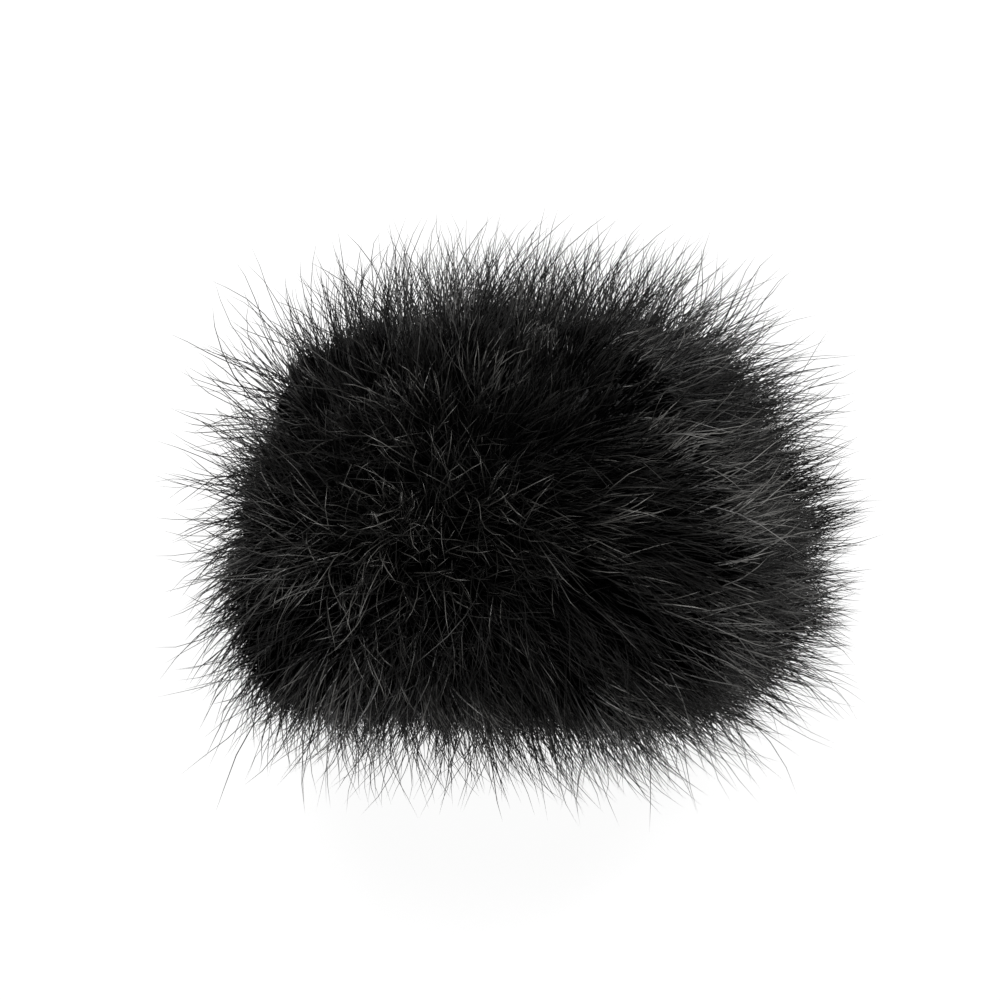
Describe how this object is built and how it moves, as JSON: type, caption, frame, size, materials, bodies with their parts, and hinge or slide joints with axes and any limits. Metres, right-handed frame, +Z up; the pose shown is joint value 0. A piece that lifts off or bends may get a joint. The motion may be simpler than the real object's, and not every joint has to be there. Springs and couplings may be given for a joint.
{
  "type": "furry microphone windscreen",
  "caption": "Slip-over furry windscreen: long-pile fur cover with an elastic hem over an open-cell foam core whose pocket grips a small sound recorder.",
  "frame": {"origin": "middle of the mouth, on the surface that the windscreen stands on, mouth down", "axes": "+Z up from the mouth to the crown, +X along the wide side, -Y the front"},
  "size_m": [0.084, 0.072, 0.073],
  "materials": {
    "fur_pile": "matte",
    "knit_backing": "matte",
    "slip_lining": "satin",
    "binding_tape": "matte",
    "hem_cloth": "matte",
    "elastic": "matte",
    "foam": "matte",
    "collar_rubber": "matte"
  },
  "bodies": {
    "core": {"foam_core": "foam", "grip_collar": "collar_rubber"},
    "cover": {"pile_front": "fur_pile", "pile_back": "fur_pile", "pile_left": "fur_pile", "pile_right": "fur_pile", "backing_front": "knit_backing", "backing_back": "knit_backing", "backing_left": "knit_backing", "backing_right": "knit_backing", "lining_front": "slip_lining", "lining_back": "slip_lining", "seam_tape_front_left": "binding_tape", "seam_tape_front_right": "binding_tape", "seam_tape_back_left": "binding_tape", "seam_tape_back_right": "binding_tape", "crown_patch": "binding_tape", "hem_tunnel": "hem_cloth", "hem_elastic": "elastic", "elastic_tab": "binding_tape"}
  },
  "joints": [
    {"name": "cover_lift", "type": "slide", "parent": "core", "child": "cover", "axis": [0, 0, 1], "range_m": [0, 0.08]}
  ]
}
